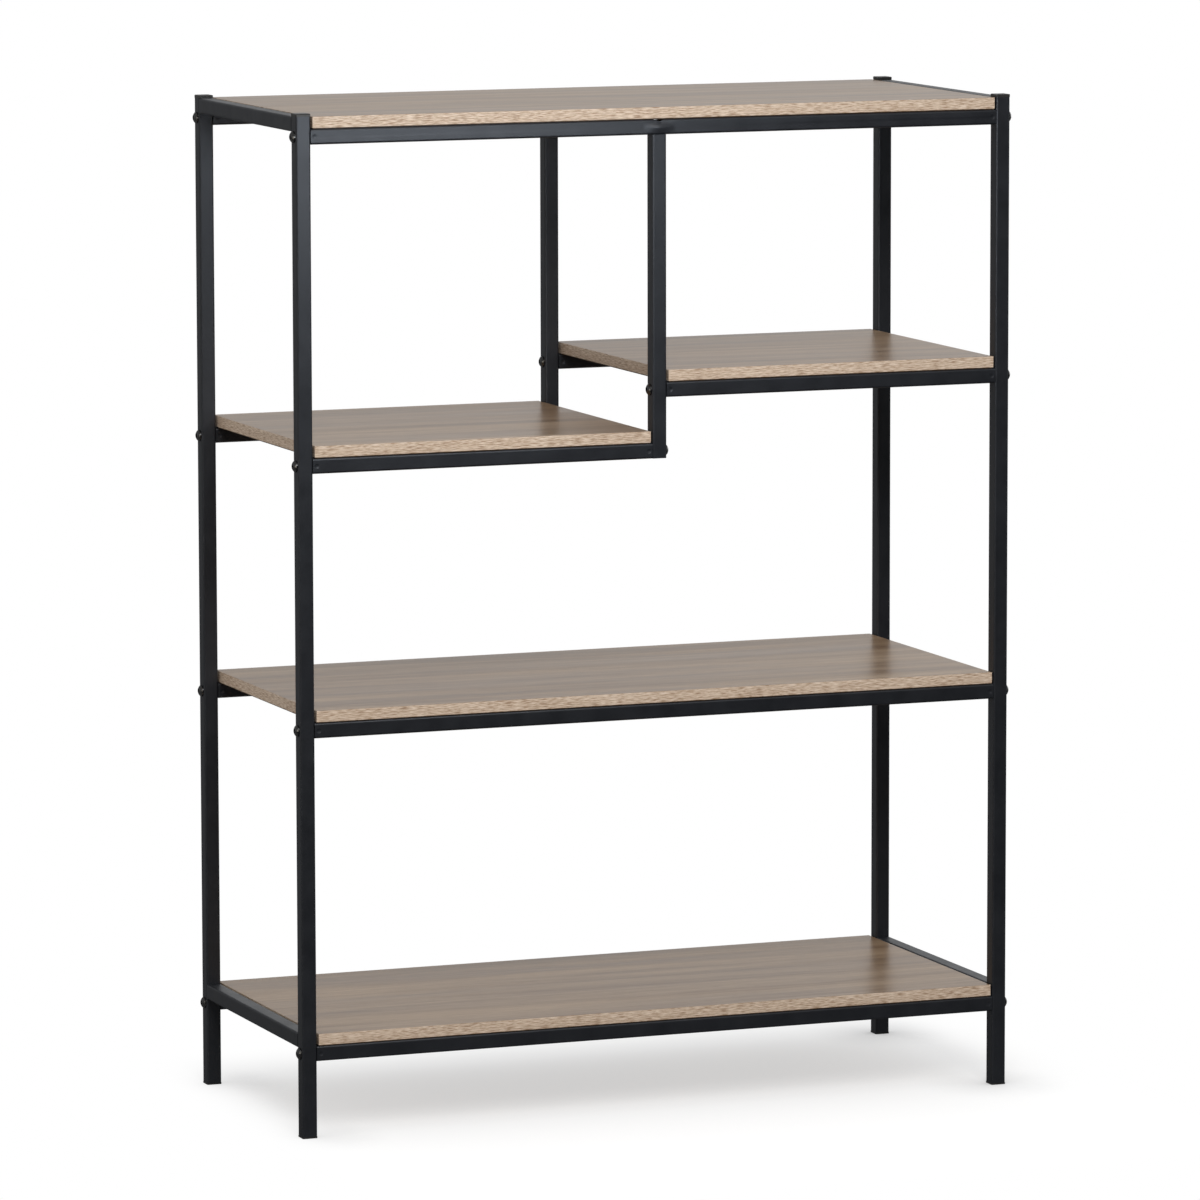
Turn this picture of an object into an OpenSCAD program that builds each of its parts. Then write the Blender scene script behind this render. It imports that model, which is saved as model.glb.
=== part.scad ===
// Open bookcase: a bolted frame of square steel tube that carries five boards.
//
// Two welded ends, each of two posts and two side rails, are joined by pairs of
// rails. Every rail is bolted at its ends through a post or a hanger into a
// threaded insert, and the boards lie on the rails. The two hangers drop from
// the top rails and split the upper half into a left and a right column, whose
// shelves stand at different heights.
//
// Origin: on the floor, under the middle of the frame. +X runs along the boards
// to the right, +Y to the back, +Z up. Millimetres.

/* [Frame] */
// Width over the posts
frame_w = 750; // [600:10:1000]
// Depth over the posts
frame_d = 310; // [240:5:400]
// Clear height under the bottom rails
ground_gap = 76; // [40:1:150]
// Clear height of the tall compartments
tall_space = 291; // [200:1:360]
// Clear height of the short compartments
short_space = 231; // [150:1:300]
// Distance of the hangers from the middle, to the right
hanger_x = 0; // [-120:5:120]

/* [Tube] */
// Outside width of the square tube
tube_w = 15; // [14:0.5:20]
// Wall of the tube
tube_wall = 1.2; // [0.8:0.1:1.5]
// Outside corner radius of the tube
tube_r = 2; // [1.8:0.1:3]

/* [Boards] */
// Thickness of a board
board_t = 12; // [12:0.5:18]
// Gap between the end of a board and the tube beside it
board_gap = 2; // [1:0.5:4]
// Thickness of the edging round a board
edging_t = 1; // [0.5:0.1:2]
// Glue line between two strips of edging
edging_joint = 0.05; // [0.02:0.01:0.2]

/* [Bolts] */
// Diameter of a bolt
bolt_d = 6; // [5:0.5:7]
// Length of a bolt inside its insert
bolt_bite = 12; // [8:1:20]
// Diameter of a bolt's button head
bolt_head_d = 11.5; // [10:0.5:12]
// Height of a bolt's head
bolt_head_h = 4; // [3.6:0.1:4.4]
// Height of the straight rim of a bolt's head
bolt_head_rim = 1.3; // [1:0.1:1.6]
// Hexagon socket, across its flats
socket_af = 4; // [3:0.5:5]
// Depth of the hexagon socket
socket_depth = 2.4; // [2:0.1:2.8]
// Gap round a bolt or screw in a drilled hole
hole_gap = 0.25; // [0.1:0.05:0.5]
// Gap round a thread in its insert or pilot hole
thread_gap = 0.05; // [0.02:0.01:0.1]
// Length of an insert past the end of its bolt
insert_spare = 3; // [1:1:10]

/* [Crimps] */
// Width of the dimple that holds an insert in its tube
crimp_d = 5; // [3:0.5:6]
// Depth of the dimple
crimp_depth = 0.4; // [0.2:0.1:0.5]
// Distance of the dimple from the end of its tube
crimp_inset = 4; // [4:0.5:10]

/* [Dent over a hanger] */
// Width of the pressed dent at the top of the rail
dent_d = 18; // [16:1:24]
// Depth of the bolt's head below the top of the rail
dent_gap = 0.5; // [0.3:0.1:1]
// Gap round the bolt's head on the floor of the dent
dent_floor_gap = 0.7; // [0.4:0.1:1]

/* [Board screws] */
// Diameter of a screw
screw_d = 4; // [3:0.5:4.5]
// Depth that a screw reaches into its board
screw_bite = 9; // [6:0.5:10]
// Length of a screw's point
screw_point = 3; // [2:0.5:5]
// Diameter of the end of a screw's point
screw_tip_d = 0.8; // [0.4:0.1:1.5]
// Diameter of a screw's countersunk head
screw_head_d = 8; // [7:0.5:9]
// Height of a screw's countersunk head
screw_head_h = 2.4; // [2:0.1:3]
// Length of the cross recess in a screw's head
recess_l = 4.4; // [3:0.2:5]
// Width of the cross recess
recess_w = 1; // [0.6:0.1:1.5]
// Depth of the cross recess
recess_depth = 1.2; // [0.8:0.1:1.6]
// Distance from the end of a board to its first screw
screw_inset = 60; // [30:5:100]

/* [Caps and feet] */
// Height of a cap above its post
cap_h = 3; // [2:0.5:5]
// Radius of a cap's upper edges
cap_edge_r = 1.2; // [0.5:0.1:1.8]
// Corner radius of a cap and a foot
cap_corner_r = 1; // [0.5:0.1:2]
// Thickness of a foot below its post
foot_h = 1.6; // [1:0.2:4]
// Length of a cap or foot inside the tube
plug_len = 12; // [8:1:20]
// Gap round a plug's ribs inside the tube
plug_gap = 0.1; // [0.05:0.05:0.3]
// Thickness of a plug's ribs
plug_rib_t = 1; // [0.8:0.1:1.5]
// Height of a plug's ribs above its core
plug_rib_h = 1.6; // [1:0.1:2]
// Number of a plug's ribs
plug_rib_count = 3; // [2:1:4]
// Thickness of the plate that closes the foot of a hanger
end_plate_t = 1.5; // [1:0.1:2.5]

/* [Hidden] */
$fn = 48;

STEEL_COLOR = "#2b2d31";
CAP_COLOR = "#1a1b1c";
BOLT_COLOR = "#17181a";
ZINC_COLOR = "#b9bcc0";
LAMINATE_COLOR = "#a8a09a";
EDGING_COLOR = "#cdb596";

// Cut past a surface, so that no skin is left on it
SLIT = 1;
LEFT = -1;
RIGHT = 1;
FRONT = -1;
REAR = 1;

inner_w = tube_w - 2 * tube_wall;
inner_r = tube_r - tube_wall;

// A rail and the board on it
shelf_h = tube_w + board_t;

// Undersides of the rails
bottom_z = ground_gap;
lower_z = bottom_z + shelf_h + tall_space;
left_z = lower_z + shelf_h + short_space;
right_z = lower_z + shelf_h + tall_space;
top_z = left_z + shelf_h + tall_space;

// The posts and the top side rails end level with the top board
frame_top = top_z + shelf_h;

// Centre lines of the posts
post_x = (frame_w - tube_w) / 2;
post_y = (frame_d - tube_w) / 2;

// Clear width between the posts, and each side of the hangers
clear_x = frame_w / 2 - tube_w;
full_bay = [-clear_x, clear_x];
left_bay = [-clear_x, hanger_x - tube_w / 2];
right_bay = [hanger_x + tube_w / 2, clear_x];

// Every pair of rails as [bay, height of its underside]
SHELVES = [
    [full_bay, top_z],
    [left_bay, left_z],
    [right_bay, right_z],
    [full_bay, lower_z],
    [full_bay, bottom_z]
];

insert_len = bolt_bite + insert_spare;
dent_depth = bolt_head_h + dent_gap;
dent_floor_d = bolt_head_d + 2 * dent_floor_gap;
top_bolt_len = tube_w - dent_depth + bolt_bite;

// Undersides of the rails that are bolted to the posts of one end
function end_rails(side) = [bottom_z, lower_z, side == LEFT ? left_z : right_z, top_z];

// Distances along a bay of its board's screws
function screw_xs(bay) = [bay[0] + board_gap + screw_inset, bay[1] - board_gap - screw_inset];

// --- Shapes that several pieces share ---

module rounded_square(w, r) {
    square([w - 2 * r, w], center = true);
    square([w, w - 2 * r], center = true);
    for (x = [-1, 1], y = [-1, 1])
        translate([x * (w / 2 - r), y * (w / 2 - r)])
            circle(r);
}

// Square tube that stands on the origin
module tube(length) {
    linear_extrude(length)
        difference() {
            rounded_square(tube_w, tube_r);
            rounded_square(inner_w, inner_r);
        }
}

// Solid that fills the tube from inside
module tube_filling(length) {
    linear_extrude(length)
        rounded_square(inner_w, inner_r);
}

// Solid that fills the tube and reaches halfway into its wall
module rooted_filling(length) {
    linear_extrude(length)
        rounded_square(tube_w - tube_wall, tube_r - tube_wall / 2);
}

// Shallow dimples in the front and rear of a tube, z above its lower end
module crimp(z) {
    ball_r = (crimp_depth * crimp_depth + crimp_d * crimp_d / 4) / (2 * crimp_depth);
    for (face = [FRONT, REAR])
        translate([0, face * (tube_w / 2 - crimp_depth + ball_r), z])
            sphere(ball_r);
}

// Turns what stands on the origin to lie along +X, or along +Y
module lay_along_x() {
    rotate([0, 90, 0])
        children();
}

module lay_along_y() {
    rotate([-90, 0, 0])
        children();
}

// Low dome with a straight rim, such as a bolt's head
module button_head(d, h, rim) {
    rise = h - rim;
    dome_r = (rise * rise + d * d / 4) / (2 * rise);
    intersection() {
        cylinder(h = h, d = d);
        translate([0, 0, h - dome_r])
            sphere(dome_r);
    }
}

// Bolt with its head above the origin and its shank below
module bolt(length) {
    color(BOLT_COLOR)
        difference() {
            union() {
                button_head(bolt_head_d, bolt_head_h, bolt_head_rim);
                translate([0, 0, -length])
                    cylinder(h = length + bolt_head_rim / 2, d = bolt_d);
            }
            translate([0, 0, bolt_head_h - socket_depth])
                cylinder(h = socket_depth + SLIT, d = socket_af / cos(30), $fn = 6);
        }
}

// Hole for a bolt or screw, both ways from the origin
module clear_hole(d, length) {
    cylinder(h = length, d = d + 2 * hole_gap, center = true);
}

// Countersunk screw that stands on the face of its head
module screw() {
    shank = tube_w + screw_bite - screw_point;
    color(ZINC_COLOR)
        difference() {
            union() {
                cylinder(h = screw_head_h, d1 = screw_head_d, d2 = screw_d);
                translate([0, 0, screw_head_h / 2])
                    cylinder(h = shank - screw_head_h / 2, d = screw_d);
                translate([0, 0, shank])
                    cylinder(h = screw_point, d1 = screw_d, d2 = screw_tip_d);
            }
            for (turn = [0, 90])
                rotate([0, 0, turn])
                    translate([-recess_l / 2, -recess_w / 2, -SLIT])
                        cube([recess_l, recess_w, recess_depth + SLIT]);
        }
}

// Countersink in a tube's wall, which holds the rim of the screw's head
module screw_sink() {
    head_slope = (screw_head_d - screw_d) / 2 / screw_head_h;
    inner_d = screw_head_d - 2 * head_slope * tube_wall + 2 * thread_gap;
    sink_slope = (screw_head_d - inner_d) / 2 / tube_wall;
    translate([0, 0, -SLIT])
        cylinder(
            h = tube_wall + 2 * SLIT,
            d1 = screw_head_d + 2 * sink_slope * SLIT,
            d2 = inner_d - 2 * sink_slope * SLIT
        );
}

// Ribbed leg of a cap or foot, which stands on the origin inside the tube
module plug_leg() {
    rib_w = inner_w - 2 * plug_gap;
    core_w = rib_w - 2 * plug_rib_h;
    rib_step = plug_len / plug_rib_count;
    linear_extrude(plug_len)
        square(core_w, center = true);
    for (i = [1 : plug_rib_count])
        translate([0, 0, i * rib_step - plug_rib_t])
            linear_extrude(plug_rib_t)
                rounded_square(rib_w, inner_r);
}

// Square pad with softened upper edges, which stands on the origin
module soft_pad(h, edge_r) {
    intersection() {
        linear_extrude(h)
            rounded_square(tube_w, cap_corner_r);
        soft_bar(h, edge_r, 0);
        soft_bar(h, edge_r, 90);
    }
}

// Bar across a pad, rounded along its two upper edges
module soft_bar(h, edge_r, turn) {
    rotate([0, 0, turn])
        translate([0, tube_w, 0])
            rotate([90, 0, 0])
                linear_extrude(2 * tube_w) {
                    translate([-tube_w / 2, 0])
                        square([tube_w, h - edge_r]);
                    translate([-tube_w / 2 + edge_r, 0])
                        square([tube_w - 2 * edge_r, h]);
                    for (x = [-1, 1])
                        translate([x * (tube_w / 2 - edge_r), h - edge_r])
                            circle(edge_r);
                }
}

// --- Ends: posts and side rails ---

// The post stands on its foot and is drilled for one bolt at each rail
module post(side, face) {
    color(STEEL_COLOR)
        translate([side * post_x, face * post_y, 0])
            difference() {
                translate([0, 0, foot_h])
                    tube(frame_top - foot_h);
                for (z = end_rails(side))
                    translate([0, 0, z + tube_w / 2])
                        lay_along_x()
                            clear_hole(bolt_d, tube_w + 2 * SLIT);
            }
}

// Welded between the two posts of an end, level with the top of a board
module side_rail(side, shelf_z) {
    color(STEEL_COLOR)
        translate([side * post_x, -post_y + tube_w / 2, shelf_z + shelf_h - tube_w / 2])
            lay_along_y()
                tube(frame_d - 2 * tube_w);
}

module cap(side, face) {
    color(CAP_COLOR)
        translate([side * post_x, face * post_y, frame_top]) {
            soft_pad(cap_h, cap_edge_r);
            mirror([0, 0, 1])
                plug_leg();
        }
}

module foot(side, face) {
    color(CAP_COLOR)
        translate([side * post_x, face * post_y, 0]) {
            linear_extrude(foot_h)
                rounded_square(tube_w, cap_corner_r);
            translate([0, 0, foot_h])
                plug_leg();
        }
}

// --- Rails and hangers ---

// Butts a post or hanger at each end, with holes for its board's screws
module rail(bay, face, z) {
    color(STEEL_COLOR)
        difference() {
            rail_tube(bay, face, z);
            rail_screw_holes(bay, face, z);
        }
}

// Crimped on its insert at each end
module rail_tube(bay, face, z) {
    length = bay[1] - bay[0];
    translate([bay[0], face * post_y, z + tube_w / 2])
        lay_along_x()
            difference() {
                tube(length);
                for (from_end = [crimp_inset, length - crimp_inset])
                    crimp(from_end);
            }
}

module rail_screw_holes(bay, face, z) {
    for (x = screw_xs(bay))
        translate([x, face * post_y, z]) {
            screw_sink();
            translate([0, 0, tube_w / 2])
                clear_hole(screw_d, tube_w + 2 * SLIT);
        }
}

// A top rail is pressed down round the bolt that holds its hanger
module top_rail(face) {
    color(STEEL_COLOR)
        difference() {
            union() {
                rail_tube(full_bay, face, top_z);
                intersection() {
                    translate([hanger_x, face * post_y, top_z + tube_w])
                        dent(tube_wall);
                    translate([hanger_x - dent_d, face * post_y, top_z + tube_w / 2])
                        lay_along_x()
                            rooted_filling(2 * dent_d);
                }
            }
            translate([hanger_x, face * post_y, top_z + tube_w])
                dent(0);
            translate([hanger_x, face * post_y, top_z + tube_w / 2])
                clear_hole(bolt_d, tube_w + 2 * SLIT);
            rail_screw_holes(full_bay, face, top_z);
        }
}

// Funnel below the origin, grown by a wall
module dent(wall) {
    slope = (dent_d - dent_floor_d) / 2 / dent_depth;
    translate([0, 0, -dent_depth - wall])
        cylinder(
            h = dent_depth + wall + SLIT,
            d1 = dent_floor_d + 2 * wall,
            d2 = dent_floor_d + 2 * wall + 2 * slope * (dent_depth + wall + SLIT)
        );
}

// Hangs from a top rail and takes the left rail's bolt from its right, and
// the right rail's bolt from its left
module hanger(face) {
    color(STEEL_COLOR)
        translate([hanger_x, face * post_y, 0])
            difference() {
                translate([0, 0, left_z])
                    tube(top_z - left_z);
                for (z = [left_z, right_z])
                    translate([0, 0, z + tube_w / 2])
                        lay_along_x()
                            clear_hole(bolt_d, tube_w + 2 * SLIT);
            }
}

module hanger_end_plate(face) {
    color(STEEL_COLOR)
        translate([hanger_x, face * post_y, left_z])
            tube_filling(end_plate_t);
}

// --- Boards ---

// The core lies on its two rails, with a pilot hole over each screw
module board(bay, rail_z) {
    length = bay[1] - bay[0] - 2 * board_gap - 2 * edging_t;
    width = frame_d - 2 * edging_t;
    color(LAMINATE_COLOR)
        difference() {
            translate([bay[0] + board_gap + edging_t, -width / 2, rail_z + tube_w])
                cube([length, width, board_t]);
            for (x = screw_xs(bay), face = [FRONT, REAR])
                translate([x, face * post_y, rail_z + tube_w - SLIT])
                    cylinder(h = screw_bite + thread_gap + SLIT, d = screw_d + 2 * thread_gap);
        }
}

// Four strips: the end strips cover the ends of the front and rear ones
module edging(bay, rail_z) {
    length = bay[1] - bay[0] - 2 * board_gap;
    strip = length - 2 * edging_t - 2 * edging_joint;
    color(EDGING_COLOR)
        translate([(bay[0] + bay[1]) / 2, 0, rail_z + tube_w]) {
            for (face = [FRONT, REAR])
                translate([0, face * (frame_d - edging_t) / 2, board_t / 2])
                    cube([strip, edging_t, board_t], center = true);
            for (side = [LEFT, RIGHT])
                translate([side * (length - edging_t) / 2, 0, board_t / 2])
                    cube([edging_t, frame_d, board_t], center = true);
        }
}

// --- Fasteners ---

module post_bolts() {
    for (side = [LEFT, RIGHT], face = [FRONT, REAR], z = end_rails(side))
        translate([side * frame_w / 2, face * post_y, z + tube_w / 2])
            rotate([0, side * 90, 0])
                bolt(tube_w + bolt_bite);
}

// The left rails' bolts have their heads on the right of the hangers
module hanger_side_bolts() {
    for (face = [FRONT, REAR], row = [[RIGHT, left_z], [LEFT, right_z]])
        translate([hanger_x + row[0] * tube_w / 2, face * post_y, row[1] + tube_w / 2])
            rotate([0, row[0] * 90, 0])
                bolt(tube_w + bolt_bite);
}

module hanger_top_bolts() {
    for (face = [FRONT, REAR])
        translate([hanger_x, face * post_y, top_z + tube_w - dent_depth])
            bolt(top_bolt_len);
}

// Threaded filling, which stands on the origin
module insert() {
    color(ZINC_COLOR)
        difference() {
            tube_filling(insert_len);
            translate([0, 0, -SLIT])
                cylinder(h = insert_len + 2 * SLIT, d = bolt_d + 2 * thread_gap);
        }
}

module rail_inserts() {
    for (shelf = SHELVES, face = [FRONT, REAR], x = [shelf[0][0], shelf[0][1] - insert_len])
        translate([x, face * post_y, shelf[1] + tube_w / 2])
            lay_along_x()
                insert();
}

module hanger_inserts() {
    for (face = [FRONT, REAR])
        translate([hanger_x, face * post_y, top_z - insert_len])
            insert();
}

module board_screws() {
    for (shelf = SHELVES, x = screw_xs(shelf[0]), face = [FRONT, REAR])
        translate([x, face * post_y, shelf[1]])
            screw();
}

post(LEFT, FRONT);  // front_left_post
post(LEFT, REAR);  // rear_left_post
post(RIGHT, FRONT);  // front_right_post
post(RIGHT, REAR);  // rear_right_post
side_rail(LEFT, top_z);  // left_top_side_rail
side_rail(LEFT, bottom_z);  // left_bottom_side_rail
side_rail(RIGHT, top_z);  // right_top_side_rail
side_rail(RIGHT, bottom_z);  // right_bottom_side_rail
top_rail(FRONT);  // top_front_rail
top_rail(REAR);  // top_rear_rail
rail(left_bay, FRONT, left_z);  // left_front_rail
rail(left_bay, REAR, left_z);  // left_rear_rail
rail(right_bay, FRONT, right_z);  // right_front_rail
rail(right_bay, REAR, right_z);  // right_rear_rail
rail(full_bay, FRONT, lower_z);  // lower_front_rail
rail(full_bay, REAR, lower_z);  // lower_rear_rail
rail(full_bay, FRONT, bottom_z);  // bottom_front_rail
rail(full_bay, REAR, bottom_z);  // bottom_rear_rail
hanger(FRONT);  // front_hanger
hanger(REAR);  // rear_hanger
hanger_end_plate(FRONT);  // front_hanger_end_plate
hanger_end_plate(REAR);  // rear_hanger_end_plate
board(full_bay, top_z);  // top_board
board(left_bay, left_z);  // left_board
board(right_bay, right_z);  // right_board
board(full_bay, lower_z);  // lower_board
board(full_bay, bottom_z);  // bottom_board
edging(full_bay, top_z);  // top_board_edging
edging(left_bay, left_z);  // left_board_edging
edging(right_bay, right_z);  // right_board_edging
edging(full_bay, lower_z);  // lower_board_edging
edging(full_bay, bottom_z);  // bottom_board_edging
cap(LEFT, FRONT);  // front_left_cap
cap(LEFT, REAR);  // rear_left_cap
cap(RIGHT, FRONT);  // front_right_cap
cap(RIGHT, REAR);  // rear_right_cap
foot(LEFT, FRONT);  // front_left_foot
foot(LEFT, REAR);  // rear_left_foot
foot(RIGHT, FRONT);  // front_right_foot
foot(RIGHT, REAR);  // rear_right_foot
post_bolts();
hanger_side_bolts();
hanger_top_bolts();
rail_inserts();
hanger_inserts();
board_screws();
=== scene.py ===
"""Looks of an open bookcase: five laminated boards in a bolted frame of square steel tube.

Metres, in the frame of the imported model: +X to the right along the boards, +Y to the back
and +Z up. The sections follow the order in which the bookcase is put together.
"""

from math import radians

import bmesh
import bpy
from mathutils import Matrix, Vector


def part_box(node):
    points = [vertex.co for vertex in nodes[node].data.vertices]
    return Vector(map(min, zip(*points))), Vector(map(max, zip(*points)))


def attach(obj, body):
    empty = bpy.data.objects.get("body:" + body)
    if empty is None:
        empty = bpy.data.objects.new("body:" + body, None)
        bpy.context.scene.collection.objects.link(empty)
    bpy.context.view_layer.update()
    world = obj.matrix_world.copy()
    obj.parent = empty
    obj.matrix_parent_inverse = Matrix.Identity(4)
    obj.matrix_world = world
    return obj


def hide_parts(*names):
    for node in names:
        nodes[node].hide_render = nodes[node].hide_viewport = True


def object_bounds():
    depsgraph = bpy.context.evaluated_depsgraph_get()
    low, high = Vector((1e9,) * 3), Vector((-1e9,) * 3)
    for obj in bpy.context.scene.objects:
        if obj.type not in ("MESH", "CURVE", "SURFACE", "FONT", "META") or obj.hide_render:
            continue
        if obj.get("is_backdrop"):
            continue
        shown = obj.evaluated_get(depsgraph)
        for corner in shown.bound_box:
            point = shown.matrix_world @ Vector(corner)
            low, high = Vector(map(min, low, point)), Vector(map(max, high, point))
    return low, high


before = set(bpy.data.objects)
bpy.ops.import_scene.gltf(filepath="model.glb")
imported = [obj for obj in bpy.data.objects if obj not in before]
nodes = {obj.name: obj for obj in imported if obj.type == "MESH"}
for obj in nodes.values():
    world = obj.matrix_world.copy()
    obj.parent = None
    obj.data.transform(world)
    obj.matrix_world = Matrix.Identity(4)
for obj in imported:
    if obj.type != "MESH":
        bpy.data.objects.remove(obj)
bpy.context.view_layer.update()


# --- Welded ends: posts and side rails --------------------------------------
# Each end is two posts of 15 mm square steel tube with two side rails welded
# between them. All the tube is powder-coated in a satin blue-black, which
# cures with a faint orange peel and small changes in its sheen.
MM = 0.001
sides = ("left", "right")
corners = [f"{end}_{side}" for end in ("front", "rear") for side in sides]
coat_dark, coat_light = (0.0032, 0.0043, 0.0074), (0.0054, 0.0070, 0.0110)
coat_index = 1.85
coat_reflection = (0.87, 0.92, 1, 1)


def new_finish(name):
    """A new material with its node tree and its Principled shader."""
    finish = bpy.data.materials.new(name)
    finish.use_nodes = True
    return finish, finish.node_tree, finish.node_tree.nodes["Principled BSDF"]


def feed(tree, node, **inputs):
    """Feeds a shader node's inputs.

    In a keyword, _ stands for a space and _0, _1 for an input's number. A socket is
    linked to the input and anything else is its value.
    """
    for key, value in inputs.items():
        number = key[1:]
        into = node.inputs[int(number) if number.isdigit() else key.replace("_", " ")]
        if isinstance(value, bpy.types.NodeSocket):
            tree.links.new(value, into)
        else:
            into.default_value = value


def add(tree, kind, settings=None, **inputs):
    """Adds a shader node, sets its options and feeds its inputs."""
    made = tree.nodes.new("ShaderNode" + kind)
    for option, value in (settings or {}).items():
        setattr(made, option, value)
    feed(tree, made, **inputs)
    return made


def on_piece(tree, stretch=(1, 1, 1)):
    """Places on the piece, with the pattern's repeats per metre along X, Y and Z."""
    place = add(tree, "TexCoord").outputs["Object"]
    return add(tree, "Mapping", Vector=place, Scale=stretch).outputs["Vector"]


def noise(tree, place, scale, detail, roughness, twist=0, output="Fac"):
    """Cloudy noise: a number round 0.5, or a colour where the output asks for one."""
    made = add(
        tree, "TexNoise",
        Vector=place, Scale=scale, Detail=detail, Roughness=roughness, Distortion=twist,
    )
    return made.outputs[output]


def tone(red, green, blue):
    """Linear colour of a paint or print sample read as 0 to 255."""
    parts = (part / 255 for part in (red, green, blue))
    return tuple(p / 12.92 if p <= 0.04045 else ((p + 0.055) / 1.055) ** 2.4 for p in parts)


def blend(tree, share, stops):
    """A colour that runs through the (place, colour) stops as the share rises."""
    ramp = add(tree, "ValToRGB", Fac=share)
    band = ramp.color_ramp
    while len(band.elements) < len(stops):
        band.elements.new(1)
    for element, (place, colour) in zip(band.elements, stops):
        element.position = place
        element.color = (*colour, 1)
    return ramp.outputs["Color"]


def between(tree, share, low, high, start=0.3, end=0.7):
    """A number that runs from low to high as the share goes from start to end."""
    made = add(tree, "MapRange", Value=share, From_Min=start, From_Max=end, To_Min=low, To_Max=high)
    return made.outputs["Result"]


def relief(tree, height, strength, depth):
    """A surface direction that follows small bumps."""
    return add(tree, "Bump", Height=height, Strength=strength, Distance=depth).outputs["Normal"]


def dress(names, finish):
    """Gives the listed nodes the finish."""
    for name in names:
        nodes[name].data.materials.clear()
        nodes[name].data.materials.append(finish)


powder_coat, tree, shader = new_finish("satin_blue_black_powder_coat")
place = on_piece(tree)
clouds = noise(tree, place, scale=40, detail=4, roughness=0.65)
peel = noise(tree, place, scale=900, detail=2, roughness=0.55)
feed(
    tree, shader,
    Base_Color=blend(tree, clouds, [(0.3, coat_dark), (0.7, coat_light)]),
    Roughness=between(tree, clouds, 0.42, 0.50),
    Normal=relief(tree, peel, strength=0.35, depth=0.05 * MM),
    IOR=coat_index,
    Specular_Tint=coat_reflection,
)
dress([f"{corner}_post" for corner in corners], powder_coat)
dress([f"{side}_{level}_side_rail" for side in sides for level in ("top", "bottom")], powder_coat)


# --- Feet -------------------------------------------------------------------
# A plug of black polypropylene is pressed into the lower end of each post, and
# its flange is the foot. It is moulded with a fine matt grain.
plastic_dark, plastic_light = (0.0160, 0.0163, 0.0165), (0.0230, 0.0233, 0.0236)

plastic, tree, shader = new_finish("moulded_black_plastic")
place = on_piece(tree)
grain = noise(tree, place, scale=1400, detail=2, roughness=0.6)
flow = noise(tree, place, scale=90, detail=2, roughness=0.5)
feed(
    tree, shader,
    Base_Color=blend(tree, flow, [(0.3, plastic_dark), (0.7, plastic_light)]),
    Roughness=between(tree, flow, 0.36, 0.46),
    Normal=relief(tree, grain, strength=0.4, depth=0.04 * MM),
    Specular_IOR_Level=0.6,
)
dress([f"{corner}_foot" for corner in corners], plastic)


# --- Rails ------------------------------------------------------------------
# Eight lengths of the same tube run from end to end, or from an end to a
# hanger, under the edges of the boards. They are coated like the posts.
rail_levels = ("left", "right", "lower", "bottom")
dress([f"{level}_{face}_rail" for level in rail_levels for face in ("front", "rear")], powder_coat)


# --- Top rails --------------------------------------------------------------
# The top pair has a dent pressed into its middle, so that the bolt head that
# holds the hanger stays below the board. The press leaves soft lips and swells
# the walls a little. Like every rail, each end is crimped on its insert.
half_tube = 7.5 * MM
tube_wall = 1.2 * MM
tube_edge_radius, edge_steps = 2 * MM, 5
# The dent goes down from the top of the tube, and ends a little above its middle
dent_depth = 4.5 * MM
dent_floor_radius, dent_lip_radius = 5.9 * MM, 8.0 * MM
dent_end = 1 * MM
# The walls swell outwards round the dent, and are drawn back in at its lip
wall_swell, least_swell = 1.8 * MM, 0.2
wall_draw, draw_from, draw_over = 2.3 * MM, -0.5 * MM, 6 * MM
swell_reach = 18 * MM
crimp_radius, crimp_depth, crimp_inset = 2.5 * MM, 0.4 * MM, 4 * MM
wall_margin = 0.1 * MM
# The cuts that give the press something to move: their number to each side, and their step
across_cuts, across_step = 10, 0.5 * MM
dent_cuts, dent_step = 24, 0.75 * MM
crimp_cuts = 6
square_on = 0.95
smooth_angle = 40


def ease(share):
    """Runs smoothly from 0 to 1 as the share does."""
    share = min(max(share, 0), 1)
    return share * share * (3 - 2 * share)


def finish_piece(name, bm, finishes, smooth_below=None):
    """Turns a bmesh into an object at the origin with its finishes."""
    mesh = bpy.data.meshes.new(name)
    bm.to_mesh(mesh)
    bm.free()
    for finish in finishes:
        mesh.materials.append(finish)
    if smooth_below is not None:
        mesh.shade_smooth()
        mesh.set_sharp_from_angle(angle=radians(smooth_below))
    piece = bpy.data.objects.new(name, mesh)
    bpy.context.scene.collection.objects.link(piece)
    return piece


def block(bm, low, high):
    """A box between two corners."""
    low, high = Vector(low), Vector(high)
    made = bmesh.ops.create_cube(bm, size=1)["verts"]
    bmesh.ops.scale(bm, vec=high - low, verts=made)
    bmesh.ops.translate(bm, vec=(low + high) / 2, verts=made)


def round_edges(bm, edges, radius, steps):
    bmesh.ops.bevel(
        bm, geom=edges, offset=radius, affect="EDGES", segments=steps, profile=0.5, material=-1
    )


def cut(bm, place, direction):
    """Cuts the faces along a plane, so that they can be pressed there."""
    bmesh.ops.bisect_plane(
        bm, geom=bm.verts[:] + bm.edges[:] + bm.faces[:], plane_co=place, plane_no=direction
    )


def dented(across):
    """How far the press takes a place down, given from the middle of the rail."""
    radius = Vector((across.x, across.y)).length
    kept = ease((radius - dent_floor_radius) / (dent_lip_radius - dent_floor_radius))
    return dent_depth * (1 - kept) * ease((across.z - dent_end) / (half_tube - dent_end))


def swollen(across):
    """How far the press moves a wall outwards."""
    reached = (1 - ease(abs(across.x) / swell_reach)) * abs(across.y) / half_tube
    swell = wall_swell * (least_swell + (1 - least_swell) * ease(across.z / half_tube + 1))
    return (swell - wall_draw * ease((across.z - draw_from) / draw_over)) * reached


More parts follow.
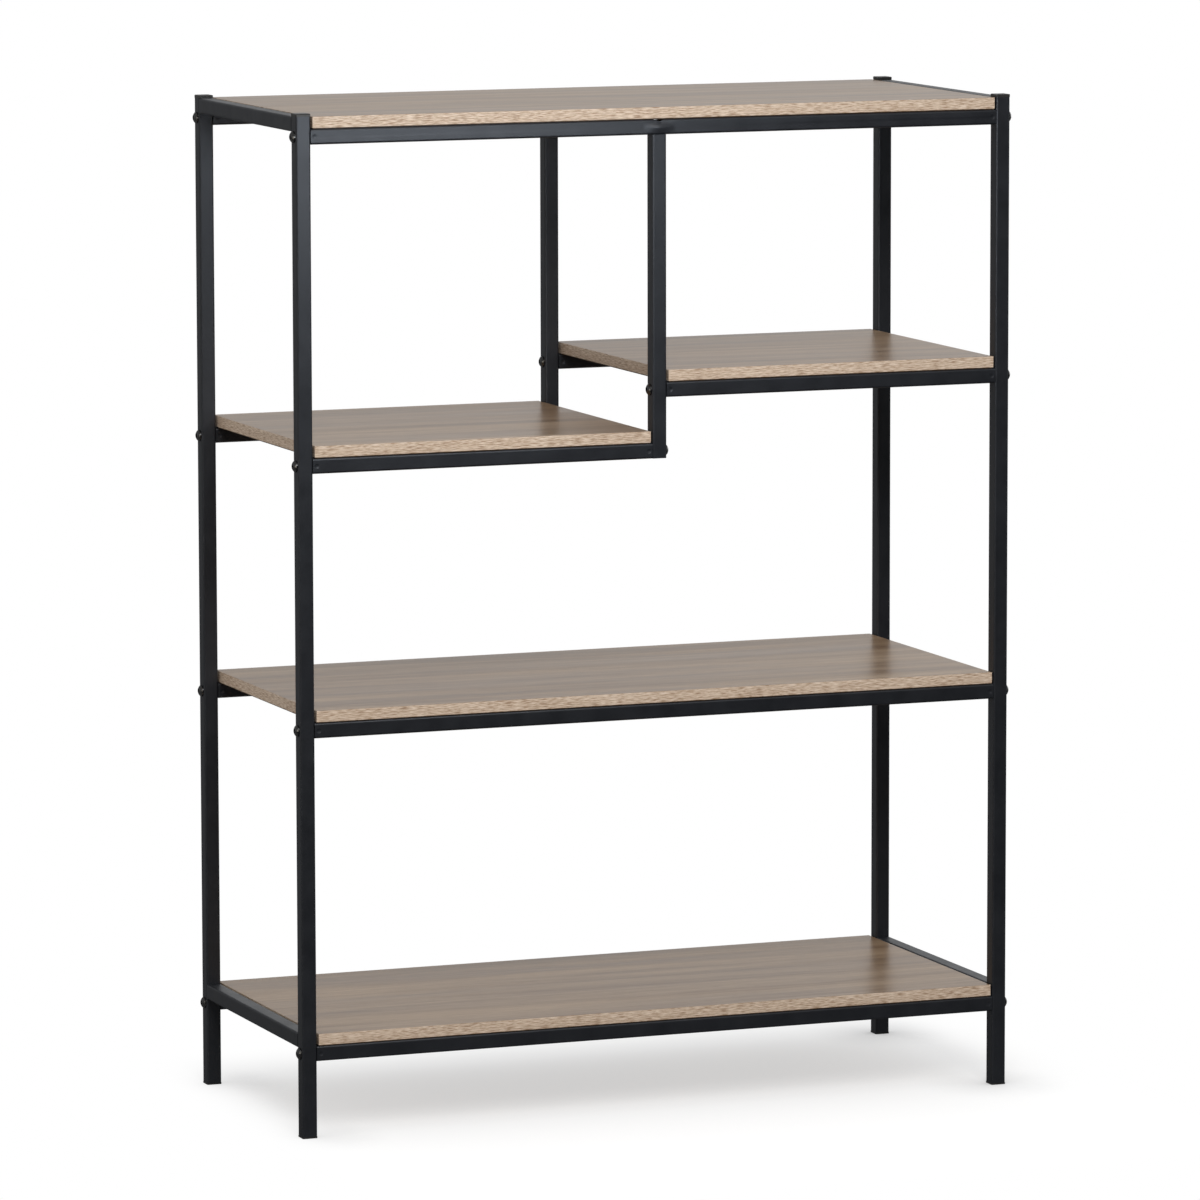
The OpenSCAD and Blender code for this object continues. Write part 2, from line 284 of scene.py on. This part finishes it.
def crimped(across, from_end):
    """How far the crimp takes the front or rear wall in."""
    from_crimp = Vector((from_end - crimp_inset, across.z)).length
    if abs(across.y) <= half_tube - wall_margin or from_crimp >= crimp_radius:
        return 0
    return crimp_depth * (1 - (from_crimp / crimp_radius) ** 2)


for face in ("front", "rear"):
    name = f"top_{face}_rail"
    low, high = (Vector(corner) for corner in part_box(name))
    middle = (low + high) / 2
    bm = bmesh.new()
    block(bm, low, high)
    ends = [f for f in bm.faces if abs(f.normal.x) > square_on]
    bmesh.ops.delete(bm, geom=ends, context="FACES_ONLY")
    along = [e for e in bm.edges if abs(e.verts[0].co.x - e.verts[1].co.x) > half_tube]
    round_edges(bm, along, tube_edge_radius, edge_steps)
    for step in range(-across_cuts, across_cuts + 1):
        for axis in (Vector((0, 1, 0)), Vector((0, 0, 1))):
            cut(bm, middle + axis * step * across_step, axis)
    for step in range(-dent_cuts, dent_cuts + 1):
        cut(bm, middle + Vector((step * dent_step, 0, 0)), (1, 0, 0))
    for step in range(-crimp_cuts, crimp_cuts + 1):
        inset = Vector((crimp_inset + step * crimp_radius / crimp_cuts, 0, 0))
        cut(bm, low + inset, (1, 0, 0))
        cut(bm, high - inset, (1, 0, 0))
    for v in bm.verts:
        across = v.co - middle
        outward = 1 if across.y > 0 else -1
        from_end = min(v.co.x - low.x, high.x - v.co.x)
        v.co.y += outward * (swollen(across) - crimped(across, from_end))
        v.co.z -= dented(across)
    bmesh.ops.recalc_face_normals(bm, faces=bm.faces[:])
    bmesh.ops.solidify(bm, geom=bm.faces[:], thickness=tube_wall)
    piece = finish_piece(f"{name}_pressed", bm, [powder_coat], smooth_angle)
    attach(piece, "root")
    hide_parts(name)


# --- Hangers ----------------------------------------------------------------
# Two short lengths of tube hang from the dents in the top rails and carry the
# inner ends of the two half-length boards. A plate closes each lower end.
dress(["front_hanger", "rear_hanger"], powder_coat)
dress(["front_hanger_end_plate", "rear_hanger_end_plate"], powder_coat)


# --- Threaded inserts -------------------------------------------------------
# Turned steel inserts sit in the ends of the rails and in the tops of the
# hangers, and take the bolts. They are zinc-plated and clear-passivated.
zinc_dull, zinc_bright = (0.42, 0.44, 0.47), (0.60, 0.62, 0.64)

zinc, tree, shader = new_finish("clear_zinc_plate")
bloom = noise(tree, on_piece(tree), scale=240, detail=3, roughness=0.6)
feed(
    tree, shader,
    Base_Color=blend(tree, bloom, [(0.3, zinc_dull), (0.7, zinc_bright)]),
    Roughness=between(tree, bloom, 0.24, 0.42),
    Metallic=1,
)
dress(["rail_inserts", "hanger_inserts"], zinc)


# --- Bolts ------------------------------------------------------------------
# Button-head machine screws with a hexagon socket hold the rails and hangers.
# They are black-oxidised and lightly oiled, so the domes carry a small glint.
oxide_dark, oxide_light = (0.0030, 0.0031, 0.0034), (0.0060, 0.0060, 0.0064)

black_oxide, tree, shader = new_finish("oiled_black_oxide")
oil = noise(tree, on_piece(tree), scale=520, detail=3, roughness=0.6)
feed(
    tree, shader,
    Base_Color=blend(tree, oil, [(0.3, oxide_dark), (0.7, oxide_light)]),
    Roughness=between(tree, oil, 0.14, 0.22),
    IOR=1.8,
    Specular_IOR_Level=0.9,
)
dress(["post_bolts", "hanger_side_bolts", "hanger_top_bolts"], black_oxide)


# --- Boards -----------------------------------------------------------------
# The boards are 12 mm chipboard with a printed oak laminate on both faces: broad
# lengthwise streaks, a soft flame figure and fine pores under a semi-gloss
# overlay. Their sawn edges are brown chipboard, which the edging covers. Where they
# show in the slot under it, they are darkened past their own tone as painted shade.
oak_tones = [
    (0.36, tone(101, 77, 56)), (0.45, tone(136, 111, 86)),
    (0.54, tone(159, 135, 109)), (0.64, tone(180, 157, 131)),
]
pore_tone = (*tone(104, 80, 60), 1)
# Chipboard brown, darkened past its own tone as painted shade for the slot under the edging
chipboard_and_painted_shade_tones = [(0.35, tone(50, 37, 27)), (0.65, tone(78, 60, 44))]
overlay_index = 1.3
overlay_reflection = (0.88, 0.95, 1, 1)
flame_share, fibre_share, deepest_pore = 0.45, 0.3, 0.35
board_levels = ("top", *rail_levels)


def maths(tree, operation, *values):
    """The result of a Math node on its one to three numbers."""
    inputs = {f"_{number}": value for number, value in enumerate(values)}
    return add(tree, "Math", {"operation": operation}, **inputs).outputs["Value"]


def waver(tree, place, wander, reach):
    """Places that are moved by up to reach with a noise, so that straight lines waver."""
    made = add(tree, "VectorMath", {"operation": "MULTIPLY_ADD"}, _0=wander, _1=reach, _2=place)
    return made.outputs["Vector"]


def mix(tree, share, first, second):
    """A number on the way from the first to the second."""
    return add(tree, "Mix", Factor=share, A=first, B=second).outputs["Result"]


def cover(tree, share, under, over):
    """One colour laid over another."""
    return add(tree, "Mix", {"data_type": "RGBA"}, _0=share, _6=under, _7=over).outputs[2]


laminate, tree, shader = new_finish("printed_oak_laminate")
streaks = noise(tree, on_piece(tree, (2.2, 26, 40)), 1, detail=4, roughness=0.55)
bend = noise(tree, on_piece(tree, (1.8, 9, 13)), 1, detail=2, roughness=0.5, output="Color")
bent = waver(tree, on_piece(tree, (1.2, 30, 30)), bend, (0, 1.6, 0.4))
flame = noise(tree, bent, 1.6, detail=3, roughness=0.6, twist=0.5)
fibres = noise(tree, on_piece(tree, (22, 620, 620)), 1, detail=4, roughness=0.65)
pores = noise(tree, on_piece(tree, (55, 1300, 1300)), 1, detail=2, roughness=0.5)
figure = mix(tree, fibre_share, mix(tree, flame_share, streaks, flame), fibres)
pore = between(tree, pores, deepest_pore, 0, start=0.36, end=0.44)
printed = cover(tree, pore, blend(tree, figure, oak_tones), pore_tone)
chips = noise(tree, on_piece(tree, (260, 260, 700)), 1, detail=3, roughness=0.7)
facing = add(tree, "SeparateXYZ", _0=add(tree, "TexCoord").outputs["Normal"]).outputs["Z"]
on_edge = between(tree, maths(tree, "ABSOLUTE", facing), 1, 0, start=0.4, end=0.6)
feed(
    tree, shader,
    Base_Color=cover(tree, on_edge, printed, blend(tree, chips, chipboard_and_painted_shade_tones)),
    Roughness=between(tree, streaks, 0.28, 0.34),
    Normal=relief(tree, fibres, strength=0.12, depth=0.03 * MM),
    IOR=overlay_index,
    Specular_Tint=overlay_reflection,
)
dress([f"{level}_board" for level in board_levels], laminate)


# --- Edging -----------------------------------------------------------------
# A 1 mm strip in the same oak print is glued to all four edges of each board.
# Its grain runs round the board. Its corners are scraped round, and it stops short
# of the underside, which leaves a fine dark line over the rail: real shade in the
# slot, deepened by the painted shade on the chipboard behind it.
strip_thickness = 1 * MM
strip_joint = 0.05 * MM
strip_trim = 1 * MM
scraped_radius, trimmed_radius, scrape_steps = 0.3 * MM, 0.1 * MM, 3
shortest_scraped = 2 * MM
same_place = 0.001 * MM
drift_share = 0.12
strip_tones = [
    (0.36, tone(138, 114, 92)), (0.45, tone(171, 150, 130)),
    (0.52, tone(193, 175, 156)), (0.61, tone(211, 196, 180)),
]


def on_strip(tree, along, across):
    """Places on a strip, with the pattern's repeats per metre along and across it."""
    strip = add(tree, "UVMap", {"uv_map": "along_strip"}).outputs["UV"]
    return add(tree, "Mapping", Vector=strip, Scale=(along, across, 1)).outputs["Vector"]


def outer_edges(bm, low, high):
    """The long edges on the outside of a ring of strips: the underside's, and the others."""
    lower, others = [], []
    for edge in bm.edges:
        a, b = (v.co for v in edge.verts)
        on_faces = [
            all(abs(end[axis] - face[axis]) < same_place for end in (a, b))
            for axis in (0, 1) for face in (low, high)
        ]
        level = abs(a.z - b.z) < same_place
        if any(on_faces) and (level or sum(on_faces) == 2) and edge.calc_length() > shortest_scraped:
            underside = max(a.z, b.z) < low.z + same_place
            (lower if underside else others).append(edge)
    return lower, others


edging, tree, shader = new_finish("oak_print_edging")
wander = noise(tree, on_strip(tree, 9, 20), 1, detail=2, roughness=0.5, output="Color")
wavy = waver(tree, on_strip(tree, 110, 1350), wander, (0, 3, 0))
dashes = noise(tree, wavy, 1, detail=3, roughness=0.6)
drift = noise(tree, on_strip(tree, 14, 120), 1, detail=2, roughness=0.5)
share = mix(tree, drift_share, dashes, drift)
feed(
    tree, shader,
    Base_Color=blend(tree, share, strip_tones),
    Roughness=between(tree, share, 0.46, 0.38),
    Normal=relief(tree, dashes, strength=0.2, depth=0.04 * MM),
    Specular_IOR_Level=0.35,
)
for level in board_levels:
    name = f"{level}_board_edging"
    low, high = (Vector(corner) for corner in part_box(name))
    low.z += strip_trim
    wall, gap = Vector((strip_thickness, strip_thickness, 0)), Vector((0, strip_joint, 0))
    inner_low, inner_high = low + wall, high - wall
    bm = bmesh.new()
    block(bm, low, (high.x, inner_low.y, high.z))
    block(bm, (low.x, inner_high.y, low.z), high)
    block(bm, Vector((low.x, inner_low.y, low.z)) + gap, Vector((inner_low.x, inner_high.y, high.z)) - gap)
    block(bm, Vector((inner_high.x, inner_low.y, low.z)) + gap, Vector((high.x, inner_high.y, high.z)) - gap)
    lower, others = outer_edges(bm, low, high)
    round_edges(bm, lower, trimmed_radius, scrape_steps)
    round_edges(bm, [e for e in others if e.is_valid], scraped_radius, scrape_steps)
    bmesh.ops.recalc_face_normals(bm, faces=bm.faces[:])
    uv = bm.loops.layers.uv.new("along_strip")
    for face in bm.faces:
        centre = face.calc_center_median()
        on_end = min(abs(centre.x - low.x), abs(centre.x - high.x)) < strip_thickness + strip_joint
        for loop in face.loops:
            spot = loop.vert.co
            along, across = (spot.y, spot.x) if on_end else (spot.x, spot.y)
            loop[uv].uv = (along, spot.z + across)
        face.material_index = int(abs(face.normal.z) > square_on)
    piece = finish_piece(f"{name}_strips", bm, [edging, laminate], smooth_angle)
    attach(piece, "root")
    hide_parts(name)


# --- Wood screws ------------------------------------------------------------
# Zinc-plated wood screws go up through each rail and hold the boards down.
# Their countersunk heads lie flush in the underside of the tube.
dress(["board_screws"], zinc)


# --- Caps -------------------------------------------------------------------
# A black plug closes the top of each post. It is moulded like the feet, with a
# low flat head, and is pressed in last.
dress([f"{corner}_cap" for corner in corners], plastic)


# --- Floor ------------------------------------------------------------------
# A sweep of white paper. Near the feet it keeps the lamps' soft shadow, with painted
# shade in its glow under the boards and round each foot, and further out the eye
# and glass see it plain white. Glossy finishes mirror it as it is in a dark studio:
# nearly black in front and dim at the back.
floor_radius, floor_sides = 12, 96
lit_paper, shaded_paper = (0.88, 0.82, 0.77, 1), (0.472, 0.480, 0.488, 1)
# The shadow is kept out to shade_half from its centre, and has gone at clear_half
shade_centre = (0.040, -0.12)
shade_half, clear_half = (0.355, 0.26), (0.455, 0.44)
# Painted shade in its glow: softly darker under the boards, and darker again close to each foot
shadow_tone = 0.552
board_reach, board_share = 0.25, 0.14
foot_reach, foot_share, foot_spread = 0.075, -0.3, 0.5
occlusion_rays = 16
# What glossy finishes mirror of the paper, from its front to its back
front_y, front_white = -0.8, 0.013
back_y, back_white = 0.6, 0.15


def openness(tree, reach):
    """How open the paper is to its surroundings within reach, from 0 to 1."""
    made = add(tree, "AmbientOcclusion", {"samples": occlusion_rays}, Distance=reach)
    return made.outputs["AO"]


def mix_shaders(tree, share, first, second):
    """A shader on the way from the first to the second."""
    return add(tree, "MixShader", _0=share, _1=first, _2=second).outputs["Shader"]


def glow(tree, strength):
    return add(tree, "Emission", Strength=strength).outputs["Emission"]


def diffuse(tree, colour):
    return add(tree, "BsdfDiffuse", Color=colour).outputs["BSDF"]


def seen_directly(tree, rays):
    """1 for a ray that comes from the camera or through glass, and else 0."""
    return maths(tree, "MAXIMUM", rays["Is Camera Ray"], rays["Is Transmission Ray"])


bm = bmesh.new()
bmesh.ops.create_circle(bm, cap_ends=True, radius=floor_radius, segments=floor_sides)
paper, tree, shader = new_finish("white_sweep")
tree.nodes.remove(shader)
place = add(tree, "SeparateXYZ", _0=add(tree, "TexCoord").outputs["Object"]).outputs
kept = []
for axis, middle, shade, clear in zip("XY", shade_centre, shade_half, clear_half):
    away = maths(tree, "ABSOLUTE", maths(tree, "SUBTRACT", place[axis], middle))
    kept.append(add(
        tree, "MapRange", {"interpolation_type": "SMOOTHSTEP"},
        Value=away, From_Min=shade, From_Max=clear, To_Min=1, To_Max=0,
    ).outputs["Result"])
shadow_kept = maths(tree, "MULTIPLY", *kept)
# Painted shade: the paper's glow is lowered under the boards and round each foot
painted_foot_shade = maths(tree, "POWER", maths(tree, "SUBTRACT", 1, openness(tree, foot_reach)), foot_spread)
glow_with_painted_shade = maths(tree, "MULTIPLY_ADD", openness(tree, board_reach), board_share, shadow_tone)
glow_with_painted_shade = maths(tree, "MULTIPLY_ADD", painted_foot_shade, foot_share, glow_with_painted_shade)
near = add(tree, "AddShader", _0=diffuse(tree, shaded_paper), _1=glow(tree, glow_with_painted_shade)).outputs["Shader"]
seen = mix_shaders(tree, shadow_kept, glow(tree, 1), near)
rays = add(tree, "LightPath").outputs
mirrored = glow(tree, between(tree, place["Y"], front_white, back_white, front_y, back_y))
unseen = mix_shaders(tree, rays["Is Glossy Ray"], diffuse(tree, lit_paper), mirrored)
both = mix_shaders(tree, seen_directly(tree, rays), unseen, seen)
tree.links.new(both, tree.nodes["Material Output"].inputs["Surface"])
finish_piece("floor", bm, [paper])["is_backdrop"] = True


# --- Lamps and backdrop -----------------------------------------------------
# A large softbox stands in front on the left, a thin strip along the top board
# puts the sheen on the upper tubes, and a warm one lights the left ends. Behind
# is plain white, and glossy finishes mirror a dim room, brighter on the right.
room_light = 0.48
# What glossy finishes mirror: an even dimness, and above it each wall's direction and brightness
room_gloss = 0.075
gloss_walls = [((-0.9, 0.43, 0), 0.18), ((0.8, 0.6, 0), 1.02)]
wall_falloff = 2


def softbox(name, place, aim, size, watts, colour):
    """A rectangular lamp at a place, turned to its aim, that the camera doesn't see."""
    lamp = bpy.data.lights.new(name, "AREA")
    lamp.shape = "RECTANGLE"
    lamp.size, lamp.size_y = size
    lamp.energy = watts
    lamp.color = colour
    box = bpy.data.objects.new(name, lamp)
    bpy.context.scene.collection.objects.link(box)
    box.location = place
    box.rotation_euler = (Vector(aim) - Vector(place)).to_track_quat("-Z", "Y").to_euler()
    box.visible_camera = False


softbox(
    "key_softbox", place=(-0.8, -3.6, 3.3), aim=(0, 0, 0.5),
    size=(2.0, 2.0), watts=94, colour=(1, 0.96, 0.92),
)
softbox(
    "sheen_softbox", place=(-0.15, -0.70, 0.98), aim=(-0.15, 0, 0.98),
    size=(0.62, 0.14), watts=1.15, colour=(0.92, 0.96, 1),
)
softbox(
    "side_softbox", place=(-2.5, -0.65, 0.7), aim=(0, 0, 0.6),
    size=(0.6, 1.0), watts=2.5, colour=(1, 0.92, 0.78),
)

studio = bpy.data.worlds.new("studio")
bpy.context.scene.world = studio
studio.use_nodes = True
tree = studio.node_tree
towards = add(tree, "TexCoord").outputs["Generated"]
in_gloss = room_gloss
for wall, brightness in gloss_walls:
    facing = add(tree, "VectorMath", {"operation": "DOT_PRODUCT"}, _0=towards, _1=wall).outputs["Value"]
    spread = maths(tree, "POWER", maths(tree, "MAXIMUM", facing, 0), wall_falloff)
    in_gloss = maths(tree, "MULTIPLY_ADD", spread, brightness, in_gloss)
rays = add(tree, "LightPath").outputs
unseen = mix(tree, rays["Is Glossy Ray"], room_light, in_gloss)
feed(
    tree, tree.nodes["Background"],
    Strength=mix(tree, seen_directly(tree, rays), unseen, 1),
    Color=(1, 1, 1, 1),
)


# --- Camera -----------------------------------------------------------------
# A long lens nearly eight metres away, half a metre above the top board and to
# the left of the middle, level across and tipped slightly down.
camera_place = (-2.7728, -7.1160, 1.4999)
turn_right, tip_down, roll = 21.268, 7.512, -0.115
sensor_mm, lens_mm = 36, 230.44
farthest_seen = 60

camera = bpy.data.objects.new("camera", bpy.data.cameras.new("camera"))
bpy.context.scene.collection.objects.link(camera)
camera.matrix_world = (
    Matrix.Translation(camera_place)
    @ Matrix.Rotation(radians(-turn_right), 4, "Z")
    @ Matrix.Rotation(radians(90 - tip_down), 4, "X")
    @ Matrix.Rotation(radians(roll), 4, "Z")
)
camera.data.sensor_width = sensor_mm
camera.data.lens = lens_mm
camera.data.clip_end = farthest_seen
bpy.context.scene.camera = camera
bpy.context.scene.view_settings.view_transform = "Standard"


# --- Size -------------------------------------------------------------------
# The size of the dressed bookcase: the span of all its shown pieces, without
# the floor.
low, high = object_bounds()
